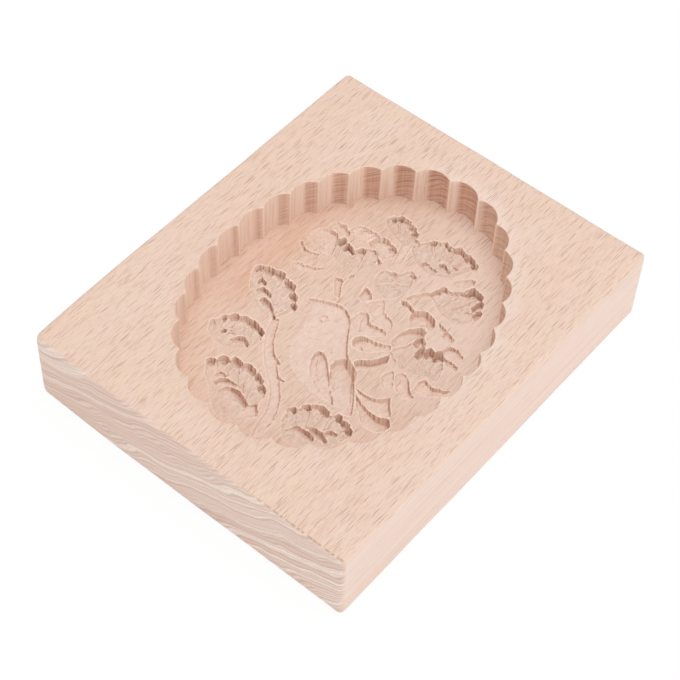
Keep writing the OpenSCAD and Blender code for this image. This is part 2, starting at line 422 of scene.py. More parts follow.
def carve_upper_left_leaf(c):
    """Leaf at the left of the bird's head."""
    c.ground([(-23.8, -4.3), (-25.1, -2.4), (-25.4, -0.7), (-24.2, 0.4), (-22.3, 1.3), (-19.5, 1.8),
              (-16.6, 1.2), (-14.5, 0), (-12.4, -2), (-10.9, -4.1)],
             [(-11.7, -7), (-12.6, -8.9), (-14.8, -9.7), (-17.6, -9.2), (-20.4, -7.8), (-22.2, -6.4)], 0.5)
    c.veins([(-24.3, 0.7), (-23.1, -0.2), (-22.7, -1.4)], [(-21.5, 1.4), (-20.6, -0.7), (-20.5, -2.9)],
            [(-18.6, 1.4), (-17.7, -1.3), (-18, -3.8)], [(-15.2, -0.2), (-15, -2.7), (-15.5, -5.8)],
            [(-12.8, -2.3), (-12.4, -5), (-13.1, -8.2)])
    c.steps(3.2, ([(-25.4, -0.7), (-25.4, 0.3), (-24.6, 0.7)], 1.5),
            ([(-24, 0.7), (-23.6, 1.3), (-22.9, 1.5), (-21.9, 1.5)], (1.2, 1.6, 2.0)),
            ([(-21.5, 1.5), (-20.9, 2), (-20.2, 2.3), (-19.3, 2.1)], (1.2, 1.8, 2.0)), ribbed=True)
    c.steps(3.2, ([(-18, 0.9), (-17.4, 1.3), (-16.4, 1.4), (-15.3, 0.9)], (1.2, 2.0, 2.0)),
            ([(-14.6, -1.4), (-14.6, -0.7), (-13.9, -0.6), (-12.8, -1.4)], 2.0),
            ([(-12.4, -3.3), (-12.4, -2.7), (-11.3, -3.3)], 2.0))
    c.steps(2.6, ([(-22.4, -3.3), (-22.8, -1.7), (-21, -2.4)], 1.7),
            ([(-21.3, -5), (-21.1, -4.2), (-20.5, -3.5), (-19.5, -3.6), (-18.5, -3.8),
              (-17.6, -4.6)], (1.0, 1.7, 1.9, 1.4)))
    c.steps(3.4,
            ([(-18.8, -6.6), (-18.8, -5.8), (-18, -5.7), (-17.1, -5.7), (-16.2, -6), (-15, -6.7),
              (-13.9, -7.8), (-12.9, -8.8)], (1.3, 1.7, 1.9, 2.0, 1.6)))


def carve_middle_left_leaf(c):
    """Leaf at the left of the bird's breast."""
    c.ground([(-22.1, -20.2), (-22.7, -18.4), (-21.4, -16.2), (-20.1, -14.7), (-18.6, -13.8),
              (-16.2, -13.2), (-14.1, -12.8), (-12.2, -13.4), (-11.1, -15)],
             [(-10.8, -16.9), (-11.6, -19), (-13.7, -20.9), (-16.4, -22.2), (-19.3, -22.2), (-21.3, -21.3)],
             0.5)
    c.veins([(-21.1, -15.6), (-20.3, -16.8), (-19.9, -18.2)],
            [(-19, -13.8), (-18.2, -15.2), (-17.7, -17.4)], [(-16.2, -13), (-15.6, -14.8), (-14.9, -16.6)],
            [(-13.7, -13.2), (-13.3, -15.1), (-12.9, -17.3)])
    c.steps(3.0, ([(-22.8, -18.5), (-22.5, -17.9), (-21.2, -18.7)], 0.8),
            ([(-21.6, -16), (-21.6, -15.5), (-21.1, -15.6)], 1.5),
            ([(-21.1, -15.4), (-20.9, -15), (-20.6, -15)], 0.7),
            ([(-20.5, -14.7), (-20.5, -14.3), (-20.1, -14.3)], 1.3),
            ([(-20.1, -14.2), (-20, -13.5), (-19.2, -13.7)], 1.7))
    c.steps(3.0, ([(-18.8, -13.8), (-18.4, -13), (-17.6, -12.5), (-16.4, -12.8)], (1.1, 1.4, 2.0)),
            ribbed=True)
    c.steps(3.0, ([(-15.9, -13.1), (-15.7, -12.4), (-14.8, -12.4), (-13.9, -13)], 2.0),
            ([(-13.4, -13.3), (-13.3, -12.8), (-12.3, -13.1), (-12, -13.6)], 2.2))
    c.steps(2.0, ([(-19.3, -19), (-19.5, -18.2), (-18.9, -18.1)], 1.5),
            ([(-17.9, -18.9), (-17.6, -17.9), (-16.7, -17.4)], 0.9),
            ([(-17.1, -16.9), (-17, -16.4), (-16.6, -16.3)], 0.5))
    c.steps(3.0,
            ([(-16.4, -19.7), (-16.2, -18.8), (-15.7, -17.7), (-14.8, -17), (-14.1, -16.9),
              (-12.4, -18)], (0.9, 1.5, 1.8, 2.0)), ribbed=True)


def carve_lowest_left_leaf(c):
    """Large leaf at the left of the stem's foot."""
    c.ground([(-14.6, -29.6), (-15.9, -27.5), (-14.9, -26.4), (-14.1, -25), (-12.7, -24.3), (-11.7, -23.5),
              (-9.7, -23.4), (-8.2, -22.6), (-5.9, -23.1), (-3.9, -23.5), (-2, -24.7), (-0.8, -25.7)],
             [(-0.2, -27.3), (0.3, -29.3), (1.8, -31.4), (1.1, -33.4), (-0.8, -35.4), (-3.7, -36.9),
              (-6.5, -36.3), (-9.1, -34.4), (-11.4, -32.5), (-13.3, -31)], 0.5)
    c.veins([(-14.8, -25.5), (-13.6, -26.2), (-12.7, -27.2)],
            [(-12.6, -23.6), (-10.6, -24.7), (-10.1, -26.8)],
            [(-9.8, -22.9), (-8.2, -25.5), (-6.6, -27.6)], [(-6.1, -22.9), (-6, -25.7), (-4.6, -28.3)],
            [(-3.5, -24.9), (-3.6, -26.8), (-2.6, -29.4)])
    c.steps(3.2, ([(-16.2, -27), (-16, -26.2), (-15.1, -26)], 1.6),
            ([(-14.6, -24.9), (-14.4, -24), (-13.7, -23.8), (-12.9, -24.1)], (1.1, 1.7, 2.0)),
            ([(-12.1, -23.3), (-12.1, -22.5), (-11.2, -22.5), (-10, -23)], (1.4, 1.8, 2.0)),
            ([(-9.4, -23.1), (-8.9, -22.1), (-7.8, -22), (-6.4, -22.6)], (1.1, 1.7, 2.0)),
            ([(-5.5, -23.4), (-5.4, -22.6), (-4.4, -22.9), (-3.4, -23.6)], 1.8),
            ([(-3, -25.3), (-2.9, -24.4), (-1.9, -24.5), (-1.2, -25.2)], 1.7),
            ([(-0.3, -29.8), (-0.5, -29.2), (0.2, -29.7), (1.1, -30.6)], 1.2))
    c.steps(2.4, ([(-12.5, -28.4), (-12.4, -27.6), (-11.8, -27.2), (-10.5, -27.4)], 1.1),
            ([(-11.2, -30.1), (-11.1, -29), (-10.4, -28.2), (-9.4, -27.7), (-8.2, -27.7),
              (-7, -27.9)], (1.5, 1.5, 1.5, 1.3, 0.8)))
    c.steps(4.5,
            ([(-9, -31.1), (-8.8, -30.2), (-8.1, -29.4), (-7, -28.8), (-5.7, -28.6), (-4.4, -28.9),
              (-3.2, -29.5), (-2, -30.3)], (0.9, 1.2, 1.5, 1.8, 2.0, 1.5)))


def carve_lowest_right_leaf(c):
    """Large leaf at the right of the stem's foot."""
    c.ground([(6.2, -27.6), (6.2, -25.9), (7.5, -23.9), (8.9, -22.3), (10.8, -21.2), (12.9, -21.1),
              (15, -21), (16.3, -20.5), (18.3, -20.9), (19.6, -21.8), (19.9, -23.2)],
             [(19.3, -25.4), (17.9, -28), (14.7, -30.7), (11.8, -32.2), (9.6, -32.2), (7.9, -30.9),
              (6.7, -29.2)], 0.5)
    c.veins([(6.8, -24), (8.3, -25.5), (9.3, -27.3)], [(8.6, -22.1), (10.2, -23.5), (11.6, -26.4)],
            [(11.8, -20.7), (12.1, -22.8), (12.5, -24.9)], [(14.7, -20.6), (14.4, -22.2), (14.9, -24.1)],
            [(18.4, -20.8), (17.8, -22.3), (17.7, -23.8)])
    c.steps(2.8, ([(5.5, -25.6), (5.7, -25.1), (6.1, -25.1)], 0.7),
            ([(6.3, -24.9), (6.2, -24.4), (6.8, -24.6)], 2.0),
            ([(7.5, -23), (7.6, -22.6), (8.1, -22.5)], 1.0),
            ([(8.1, -22.4), (8.1, -21.9), (8.7, -22)], 1.9),
            ([(11.3, -20.6), (11.7, -20.3), (12.6, -20.6)], (1.8, 2.2)),
            ([(13.8, -21.1), (14.1, -20.5), (14.6, -20.3)], 0.4),
            ([(14.6, -20.3), (14.6, -19.6), (15.4, -19.8)], 2.4),
            ([(16, -20.4), (16.5, -20.1), (17.3, -20), (18.1, -20.4)], 1.8),
            ([(18.2, -21.5), (18.5, -20.8), (19.4, -21.3)], 2.1))
    c.steps(2.8, ([(8.7, -21.8), (9, -21.1), (9.9, -20.6)], 1.1),
            ([(10.2, -20.9), (10.3, -20.3), (11.2, -20.3)], (1.3, 1.7, 2.2)), ribbed=True)
    c.steps(3.2,
            ([(8.2, -30.2), (8.7, -29.2), (9.2, -28.1), (9.9, -27.3), (10.8, -27.2), (11.9, -27.1),
              (13, -27.1), (14.3, -27.7)], (0.6, 0.8, 1.2, 1.6, 1.9, 1.6)),
            ([(12.1, -26.1), (12.4, -25.5), (13.4, -25.3), (14.5, -25.2), (15.6, -25.6),
              (16.9, -26.5)], (1.1, 1.6, 2.0, 2.1, 1.6)),
            ([(15.4, -24.7), (15.6, -23.9), (16.3, -23.5), (17.4, -23.7)], (1.2, 1.5, 1.3)))


def carve_top_leaf(c):
    """Leaf at the top."""
    c.ground([(-2.6, 27.6), (-2.1, 29), (0, 31.6), (1.6, 32.4), (3.4, 33.2), (5.4, 33.6), (7, 34),
              (9.4, 33.5), (11.4, 32.4)],
             [(12, 30.6), (10.5, 27.5), (8.5, 25), (6, 23.6), (3, 23.4), (0, 24.6), (-1.8, 26)], 0.5)
    c.veins([(0.2, 31.4), (1.6, 29.8), (2.8, 28.6)], [(2.6, 32.8), (3.6, 31), (4.4, 29.8)],
            [(5, 33.1), (5.8, 31.4), (6.4, 29.8)], [(8.4, 33), (8.4, 31.4), (8.2, 29.8)],
            [(10.8, 32.2), (10, 30.4), (9.2, 29)])
    c.steps(2.6, ([(-2.1, 28.8), (-2.1, 29.3), (-1.5, 29.1)], 0.8), ([(0, 31.4), (0, 32), (0.6, 32)], 1.5),
            ([(1, 31.9), (1.1, 32.4), (1.5, 32.4)], 0.8), ([(1.8, 32.7), (1.9, 33.1), (2.3, 33.1)], 0.6),
            ([(2.6, 33.2), (2.6, 33.7), (3.4, 33.2), (4.2, 32.7)], 1.6),
            ([(4.8, 32.8), (4.8, 33.3), (5.3, 33.3)], 1.2),
            ([(8.7, 32.7), (8.7, 33.9), (9.6, 33.7), (10.7, 33.1)], 1.8),
            ([(11, 32), (11, 33), (12, 32.6)], 1.8))
    c.steps(2.6, ([(5.3, 33.3), (5.7, 34.4), (6.6, 34.3), (7.7, 33.6)], (1.6, 1.9, 2.2)),
            ([(2.1, 25.2), (2.3, 26.1), (3.4, 26.2), (4.6, 25.8), (5.5, 26), (6.5, 24.9)], (1.2, 1.1, 1.0)),
            ([(5.1, 27.6), (5.4, 28.4), (6.4, 28.3), (7.5, 27.8), (8.4, 27)], 1.5), ribbed=True)
    c.steps(1.8, ([(4.3, 28.7), (4.5, 29.6), (5.4, 29.9)], 0.7),
            ([(7.8, 29.4), (8.3, 29.4), (9.2, 28.6)], 1.1))


def carve_round_leaf(c):
    """Round leaf on its stalk, beside the top leaf."""
    c.ground([(-12.2, 30), (-11.4, 31.4), (-10.2, 32.6), (-8.6, 33), (-6.6, 32.3), (-4.8, 31.2),
              (-3.2, 29.4)],
             [(-3, 27.6), (-4.6, 26.4), (-7.6, 26.8), (-10.4, 28.2)], 0.45)
    c.veins([(-10.4, 32.2), (-9, 30.6), (-7.4, 28.8)], [(-7.2, 32.2), (-6.6, 30.4), (-5.8, 28.6)],
            [(-4.9, 30.9), (-4.7, 29.4), (-4.4, 28)])
    c.steps(2.6, ([(-11.4, 31.2), (-11.4, 31.7), (-10.8, 31.7)], 1.7),
            ([(-10.6, 32), (-10.6, 32.3), (-10.2, 32.3)], 0.9),
            ([(-10.2, 32.5), (-10.2, 33), (-9.6, 32.9)], 2.0),
            ([(-9, 32.5), (-8.9, 33.2), (-7.6, 32.8)], 1.4),
            ([(-6.7, 31.7), (-6.7, 32.6), (-5.5, 32)], 1.5),
            ([(-5.3, 30.6), (-5.2, 31.5), (-4.1, 31.1)], 1.5),
            ([(-3.7, 28.8), (-3.6, 29.5), (-2.6, 29.4)], 0.7))
    c.groove(curve((-4, 27.5), (-3.4, 25), (-2.6, 23), (-2, 20.6)), (2.2, 1.8), 0.5)


def carve_stalks(c):
    """Stalks of the flowers."""
    c.petal([(-8.2, 9.4), (-7.4, 8), (-6.6, 6.7), (-5.4, 4.8)], [(-6.6, 4.6), (-8.6, 6.8), (-10.2, 9)], 0.8)
    c.petal([(-7.7, 12.4), (-7.2, 12.6), (-6.7, 11.2)], [(-7.4, 10.4), (-8, 11.2)], 0.7)
    c.petal([(-3, 11), (-1.8, 10.9), (-0.8, 10.3), (0.1, 9.1)], [(-0.6, 7.6), (-2.6, 8)], 0.9, ribbed=False)
    c.petal([(-22.6, 14), (-22.2, 17.2), (-20.8, 18.7), (-18.7, 19.2), (-17.2, 18.5)],
            [(-14.6, 13.6), (-19, 12.6)], (0.4, 0.4, 0.6, 0.9, 0.8), ribbed=False)


def carve_side_flower(c):
    """Side flower: outer petals and the dark mouths of its cup."""
    c.ground([(-16.4, 18.4), (-14.4, 18.5), (-12.2, 17.8), (-11, 19.2), (-8.6, 20.6), (-6.3, 19.4)],
             [(-5.6, 17.4), (-7.6, 14.4), (-10.6, 12.6), (-13.6, 12.8), (-16, 15)], 0.45)
    c.veins([(-15.2, 18.4), (-14.2, 16), (-13.2, 13.6)], [(-11.4, 17.6), (-11, 15.4), (-10.6, 13.4)],
            [(-9.4, 19.8), (-8.8, 17.4), (-8, 15)])
    c.steps(2.6,
            ([(-22.8, 12), (-22.5, 12.2), (-21.5, 11.4), (-20.6, 11), (-19.7, 11), (-18.6, 11.2),
              (-17.6, 11.5)], (0.8, 0.9, 0.7, 0.4)),
            ([(-16.1, 17.4), (-16.4, 18.6), (-15.9, 19.4), (-15.1, 18.6)], 2.3),
            ([(-13.9, 16.7), (-14.5, 18.1), (-14.2, 18.7), (-13.4, 18.4), (-12.1, 17.9),
              (-11.2, 16.8)], (2.2, 2.4, 2.3, 2.0)),
            ([(-11, 18.5), (-11.1, 19.5), (-10, 19.3)], 1.5),
            ([(-8.6, 21.2), (-7.3, 20.7), (-6.3, 19.6), (-5.1, 18.9)], 0.9),
            ([(-6.6, 24), (-6.2, 24.7), (-5.2, 24.5), (-4.4, 23.6)], (1.4, 1.5, 1.6)),
            ([(-10.7, 22.1), (-10.5, 23.5), (-9.8, 24.4), (-8.8, 25.1), (-7.7, 25.1)], 1.3),
            ([(-19.4, 21.9), (-18.6, 22.2), (-17.4, 21.8), (-16.2, 21.2)], 0.9),
            ([(-14.8, 23.7), (-14.3, 24.5), (-13.1, 24.4)], 0.9))
    c.steps(1.8, ([(-19.3, 18.9), (-18.3, 19), (-17.2, 18.5), (-16.4, 17.9)], 0.8),
            ([(-11.9, 24.7), (-11.5, 25.1), (-10.5, 24.9)], 0.7),
            ([(-20.7, 18.9), (-20.9, 20.2), (-20.6, 21.3), (-19.9, 22.1)], 0.5),
            ([(-16.4, 22.3), (-16.1, 23.5), (-15.4, 24.3)], 0.5),
            ([(-19.8, 5.6), (-19.5, 6.6), (-18.4, 7)], 0.7),
            ([(-17.8, 6.4), (-17.6, 7.1), (-16.7, 7.5)], 0.7), ribbed=True)
    c.petal([(-20.6, 20.4), (-19.8, 21.6), (-18.6, 22.4), (-17.6, 22.3), (-16.4, 21)],
            [(-16.8, 19.2), (-19, 19.6)], 0.5)
    c.petal([(-16.4, 23.4), (-14.6, 24.9), (-12.4, 25), (-10.9, 24.9)], [(-11.4, 20.6), (-14.6, 20.4)], 0.5)
    c.petal([(-10.6, 23.4), (-9.8, 24.8), (-8.4, 25.5), (-7, 24.9), (-5.6, 24.7), (-4.6, 23.8),
             (-3.9, 21.9)],
            [(-5, 19.8), (-8.4, 21.2)], 0.6)
    c.petal([(-20, 5.9), (-19.2, 6.6), (-18.3, 7), (-16.8, 7.2), (-13.4, 9.4)],
            [(-14.4, 7.2), (-17.4, 5.4)], 0.6)


def carve_large_flower(c):
    """Outer petals of the large flower."""
    c.petal([(0.6, 1.5), (0.2, 3), (0.3, 4.2), (1, 5.2), (1.8, 5.6), (2.9, 5), (3.6, 4.2), (4.5, 3.8),
             (5.4, 4), (6.7, 4.2), (7.8, 4.2), (8.7, 4.1)],
            [(8.9, 3.2), (7.5, 1.8), (5.4, 0.5), (2.9, 0.1)], (0.4, 0.4, 0.6, 0.9, 0.9, 0.8, 0.7),
            ribbed=False)
    c.petal([(4.3, -2.7), (4.1, -1.7), (4.3, -1), (4.9, -0.3), (5.7, 0.1), (6.7, 0.3), (7.7, 0.5),
             (8.9, 0.8), (9.9, 1.2), (11.4, 1.9)],
            [(12.3, 1), (10.7, -0.9), (8.9, -2.7), (6.9, -3.7), (5.3, -3.6)],
            (1.2, 1.4, 1.2, 0.8, 0.8, 0.7, 0.5))
    c.petal([(0, 7.4), (0.5, 8.9), (1.5, 10.2), (2.4, 10.9), (3.1, 10.5), (3.7, 9.5), (4.4, 8.6),
             (5.2, 8.1), (6.1, 7.8), (7, 7.6), (8.3, 6.7)],
            [(8.8, 5.3), (7.1, 5), (4.8, 5.1), (2.2, 5.9), (0.8, 6.5)],
            (0.3, 0.3, 0.5, 0.7, 0.7, 0.6, 0.5), ribbed=False)
    c.petal([(16.5, -7.5), (15.7, -6.4), (15.3, -5.1), (15.7, -3.9), (16.3, -3.2)],
            [(17.9, -4.9), (19.1, -6.7), (18.6, -8.1), (17.6, -8.3)], 0.5, ribbed=False)
    c.petal([(17.4, -3.5), (18, -2.3), (19, -2.1), (20.3, -2.8), (21.2, -3.8), (22.4, -4.9), (24, -5.8)],
            [(23.6, -6.9), (22, -7.3), (19.9, -6.7), (18.4, -5.2)], (0.3, 0.4, 0.6, 0.9, 0.9, 0.8),
            ribbed=False)
    c.petal([(22.8, -0.5), (23.6, -0.6), (24.6, -0.8), (25.5, -0.9), (26.3, -0.6), (26.9, -0.2),
             (27.8, -0.2)],
            [(29.2, 1), (28.1, -1.8), (26.2, -3.6), (24.4, -4.1), (22.7, -3.8), (22.3, -2.1)],
            (0.7, 0.8, 0.9, 0.9, 0.7), ribbed=False)
    c.steps(2.4,
            ([(8.4, -6.5), (8.9, -5.5), (10.3, -4.4), (11.4, -3), (12.3, -1.3),
              (12.6, -0.5)], (1.5, 1.7, 1.9, 1.9, 1.8)), ribbed=True)
    c.steps(4.6,
            ([(10, 10.8), (9.4, 12.4), (9.7, 13.2), (10.4, 13.7), (11, 14.3), (12, 14.5), (13.3, 14.3),
              (14.4, 13.9), (15.4, 12.9), (16.1, 11.7)], (1.4, 1.5, 1.6, 1.7, 1.8, 1.9, 2.0, 2.0)))
    c.steps(1.8, ([(15.8, 14.1), (16.6, 13.8), (17.7, 13.2)], 0.9),
            ([(5.5, 13.6), (6.6, 13.9), (7.6, 13.6), (9, 12.9)], 1.3),
            ([(23, 7), (23.9, 7.1), (24.8, 7.1), (26, 6.6)], 0.9),
            ([(12.5, 0.8), (13.1, 0.6), (14.2, -0.2), (15.1, -0.7)], 0.4),
            ([(17.5, -5.2), (18.3, -5.6), (19, -6.7)], 0.6))
    c.steps(2.4,
            ([(21.1, 8.3), (21.3, 9.8), (21.8, 10.5), (22.8, 10.7), (24, 10.5),
              (25.3, 9.7)], (0.5, 0.9, 1.0, 0.9, 0.8)),
            ([(18.4, 12), (18.4, 13.2), (19.4, 13), (20.7, 12.2)], 0.9), ribbed=True)


def carve_frilled_cup(c):
    """Frilled cup of the large flower, with the petals in front of it."""
    c.ground([(14.9, 6.8), (16.9, 6), (18.3, 6.4), (20.3, 7), (22.7, 6)],
             [(24.6, 3.6), (25.2, 0.8), (22.6, 0.2), (19.6, -1.2), (16.6, -1.8), (14.6, 0), (13.8, 2.6)],
             0.45)
    c.veins([(16.9, 6.2), (16.8, 3), (17, -0.4)], [(18.1, 5.4), (19.2, 2.4), (19.6, -0.4)],
            [(20.2, 6.2), (21.6, 3), (22.2, 1)])
    c.steps(3.4,
            ([(11.1, 3.1), (10.7, 4.8), (10.9, 6), (11.2, 7.3), (11.8, 8.3), (12.5, 9.2), (13.3, 10),
              (14.1, 10.4), (14.8, 9.8)], (0.7, 0.8, 0.9, 1.1, 1.5, 1.9, 2.0)), ribbed=True)
    c.steps(3.4, ([(14.9, 6.2), (14.7, 7.7), (15, 8.5), (16, 8.1), (16.8, 7.2)], 1.9),
            ([(17.2, 3.7), (16.8, 5), (16.8, 6.1), (17, 6.8), (17.7, 5.9)], 2.0),
            ([(18.3, 5.3), (18.2, 6.5), (18.4, 7.2), (19.3, 7.1), (20.1, 6.2)], 2.2),
            ([(20.5, 5.6), (20.1, 6.9), (20.3, 7.7), (20.9, 8), (21.8, 7.5), (22.7, 6.4)], 2.4),
            ([(12.6, 1.7), (13.3, 3), (14.2, 4.3), (15.1, 5.6)], 0.45))


def carve_bud(c):
    """Bud on its pedicel."""
    c.ground([(9.4, 19.6), (10, 22.2), (12.6, 22.8), (14, 24.1), (15, 26.2), (16.2, 26.9), (18.2, 26.2),
              (19.4, 24.8), (20.8, 22.2), (21.2, 20.4)],
             [(20.4, 18), (18, 16.2), (14.5, 16), (11.5, 17.4)], 0.45)
    c.veins([(14.6, 24.4), (13.6, 21), (12.8, 18.2)], [(18, 25.8), (16.6, 22), (15.4, 18.6)],
            [(19.8, 23), (18.8, 20.6), (17.8, 18.4)])
    c.steps(1.4, ([(6, 14.9), (6.2, 16.1), (7, 17.3), (7.8, 18.4), (9, 19.6)], 0.8),
            ([(13.4, 18.2), (13.6, 18.5), (14.4, 17.6)], 0.6),
            ([(13.6, 27.9), (13.6, 28.5), (14.3, 28.5)], 1.0),
            ([(11, 25.6), (12, 27), (13.4, 27.7)], 0.35), ([(16.4, 20), (17.5, 20.4), (19.1, 20.5)], 0.5))
    c.steps(2.2, ([(9.3, 19.3), (9.2, 20.5), (9.5, 21.3), (10.3, 21.1)], 1.3),
            ([(10, 21.6), (10, 22.5), (10.6, 22.8), (11.7, 22.4), (12.6, 21.4),
              (13.3, 20.1)], (1.3, 1.3, 1.2, 1.0, 0.7)),
            ([(12.7, 22.5), (12.8, 23.3), (13.5, 23.3)], 0.9),
            ([(13.5, 23.3), (13.6, 24.1), (14.5, 24)], 0.9),
            ([(14.7, 24.3), (14.7, 24.8), (15.2, 24.7)], 1.4))
    c.steps(3.0,
            ([(15.2, 25), (15, 26), (15.2, 26.8), (16.2, 26.9), (17.3, 26.7),
              (18.2, 26.3)], (2.0, 2.3, 2.3, 2.2, 1.8)),
            ([(18.4, 22.5), (18.4, 24.1), (18.8, 25), (19.5, 24.7)], 1.9),
            ([(19.9, 20.9), (19.8, 22.2), (20.1, 22.8), (20.9, 22.2)], 1.8), ribbed=True)
    c.petal([(11, 25.4), (12.2, 27), (13.4, 28.6), (14.2, 28.7), (15, 27.6)], [(14.2, 25.8), (12, 24.4)], 0.5)
    c.petal([(16, 20.1), (17.2, 20.5), (18.4, 20.4), (20.2, 18.6)],
            [(20.2, 16.6), (17, 15.8), (14.6, 17.6)], 0.4)


def carve_small_blossom(c):
    """Small blossom."""
    c.ground([(-3.2, 17.3), (-1.5, 18), (0.2, 19), (2.2, 21), (3.4, 20.2), (4.6, 17.6), (4.4, 14.8)],
             [(3.2, 12.2), (0.4, 11.6), (-2.2, 12.8), (-3.4, 15)], 0.36)
    c.veins([(-1, 17.8), (0.2, 17), (1, 16.4)], [(1.6, 20.2), (1.4, 18.4), (1, 16.4)],
            [(3.8, 17.8), (2.4, 17), (1, 16.4)], [(2.2, 13.2), (1.6, 14.8), (1, 16.4)],
            [(-1.6, 13.6), (-0.4, 15), (1, 16.4)])
    c.petal([(-3.2, 17.7), (-1.8, 18.3), (-0.3, 18.9)], [(-0.4, 15.6), (-2.8, 15.4)], 0.5)
    c.petal([(0.9, 20.4), (2.2, 21.7), (3.5, 20.4)], [(2.8, 17.6), (0.9, 17.8)], 0.6)
    c.petal([(0.2, 14.9), (1.8, 15.6), (3, 16), (4.1, 14)], [(3.2, 11.8), (1, 11.6)], (0.4, 0.5, 0.7, 0.6))
    c.steps(2.0, ([(-1.5, 17.7), (-1.4, 18.4), (-0.6, 18.7)], 0.9),
            ([(0.1, 19.1), (0.8, 20), (1.7, 20.7)], 0.7), ([(2, 20.9), (2.3, 21.4), (3.4, 20.8)], 1.2),
            ribbed=True)
    c.steps(1.6, ([(2.5, 14.5), (2.6, 15.6), (3.5, 15.6), (4.3, 14.5)], 0.8))


def carve_picture(loop):
    """The picture, cut into the floor within the hollow's outline."""
    x, y = (np.arange(loop[:, k].min(), loop[:, k].max(), PITCH) for k in (0, 1))
    carving = Carving(x, y)
    for carve in (carve_stem, carve_upper_left_leaf, carve_middle_left_leaf, carve_lowest_left_leaf,
                  carve_lowest_right_leaf, carve_top_leaf, carve_round_leaf, carve_stalks, carve_side_flower,
                  carve_large_flower, carve_frilled_cup, carve_bud, carve_small_blossom, carve_bird):
        carve(carving)
    for spot in TUFTS:
        carving.fuzz(spot)
    carving.roughen()
    return carving


# Mesh of the block


class Mesher:
    """Collects vertices, in millimetres, and faces."""

    def __init__(self):
        self.points, self.faces, self.hollow, self.count = [], [], [], 0

    def add(self, places, z, hollow):
        """Vertices above flat places, at one height or at a height each. Returns their numbers."""
        first = self.count
        self.points.append(np.column_stack([places, np.broadcast_to(z, len(places))]))
        self.hollow.append(np.full(len(places), float(hollow)))
        self.count += len(places)
        return np.arange(first, self.count)

    def places(self, numbers):
        """Where vertices are, seen from above."""
        return np.concatenate(self.points)[numbers][:, :2]

    def loft(self, rings, flip=False):
        """Quads between closed rings of equal length, each a list of vertex numbers."""
        for a, b in zip(rings[:-1], rings[1:]):
            quads = np.stack([a, np.roll(a, -1), np.roll(b, -1), b], 1)
            self.faces.extend((quads[:, ::-1] if flip else quads).tolist())

    def fill(self, numbers, edges, keep):
        """Triangles, facing up, over flat places with fixed edges. keep chooses them by their middles."""
        corners = [Vector(p) for p in self.places(numbers).tolist()]
        flat, _, faces, source, _, _ = delaunay_2d_cdt(corners, edges, [], 0, 1e-7)
        flat, faces = np.array([tuple(v) for v in flat]), np.array(faces)
        faces = faces[keep(flat[faces].mean(1))]
        a, b, c = (flat[faces[:, k]] for k in range(3))
        turn = (b[:, 0] - a[:, 0]) * (c[:, 1] - a[:, 1]) - (b[:, 1] - a[:, 1]) * (c[:, 0] - a[:, 0])
        faces[turn < 0] = faces[turn < 0][:, ::-1]
        first = np.array([s[0] for s in source])
        self.faces.extend(numbers[first[faces]].tolist())


def loop_edges(start, count):
    """Edges that join a number of points, from a start, in a closed loop."""
    return [(start + i, start + (i + 1) % count) for i in range(count)]


def sanded(s, corner, worn):
    """Radius of the sanded edge at a distance along the board's outline, from hand sanding that varies a
    little and takes more off towards the worn corner. corner is how far the place is from that corner."""
    hand = 1 + 0.10 * np.sin(s / 9.0 + 0.7) + 0.07 * np.sin(s / 3.7 + 2.1)
    return EDGE_RADIUS * hand + worn * np.exp(-((corner / WORN_REACH) ** 2))


def board_outline():
    """Points and outward directions around the board, seen from above, with rounded corners."""
    points, outward = [], []
    signs, radii = ((1, -1), (1, 1), (-1, 1), (-1, -1)), [CORNER_RADIUS] * 3 + [WORN_CORNER_RADIUS]
    middles = [np.array([WIDTH / 2 - r, LENGTH / 2 - r]) * sign for sign, r in zip(signs, radii)]
    for i, (middle, r) in enumerate(zip(middles, radii)):
        for angle in np.radians(np.linspace(90 * i - 90, 90 * i, 9)):
            out = np.array([math.cos(angle), math.sin(angle)])
            points.append(middle + r * out)
            outward.append(out)
        start, end = points[-1], middles[(i + 1) % 4] + radii[(i + 1) % 4] * out
        steps = int(np.linalg.norm(end - start) / OUTLINE_PITCH)
        for k in range(1, steps):
            points.append(start + (end - start) * k / steps)
            outward.append(out)
    return np.array(points), np.array(outward)


def add_board(m):
    """Sides, underside and sanded edges of the board. Returns the loop of vertices around its top face, and
    places a little inside that loop."""
    outline, outward = board_outline()
    run = distances(outline)
    corner = np.linalg.norm(outline - [-WIDTH / 2, -LENGTH / 2], axis=1)
    # The underside is sanded by itself, so its edge varies in other places
    under, over = sanded(run + 40, corner, WORN_UNDER), sanded(run, corner, WORN_OVER)

    def drawn_in(distance):
        return outline - outward * distance[:, None]

    rings = []
    for turn in np.linspace(math.pi / 2, 0, 6):
        rings.append(m.add(drawn_in(under * (1 - math.cos(turn))), under * (1 - math.sin(turn)), 0))
    for z in np.linspace(LOWEST_ROW, HIGHEST_ROW, 6):
        rings.append(m.add(outline, z, 0))
    for turn in np.linspace(0, math.pi / 2, 6):
        rings.append(m.add(drawn_in(over * (1 - math.cos(turn))), THICKNESS - over * (1 - math.sin(turn)), 0))
    m.loft(rings)
    m.faces.append(rings[0][::-1].tolist())
    straight = np.abs(outward).max(1) > 0.999
    return rings[-1], drawn_in(over + 0.5)[straight]


def add_wall(m):
    """Fluted wall of the hollow with its softened rim. Returns its rows of vertices, from the top down."""
    rows = []
    for turn in np.linspace(math.pi / 2, 0, 5):
        loop = fluted_outline(RIM_SOFT * (1 - math.cos(turn)))
        rows.append(m.add(loop, THICKNESS - RIM_SOFT * (1 - math.sin(turn)), 1))
    for z in np.linspace(THICKNESS - 1, FLOOR_Z, 6):
        rows.append(m.add(fluted_outline(0), z, 1))
    m.loft(rows, flip=True)
    return rows


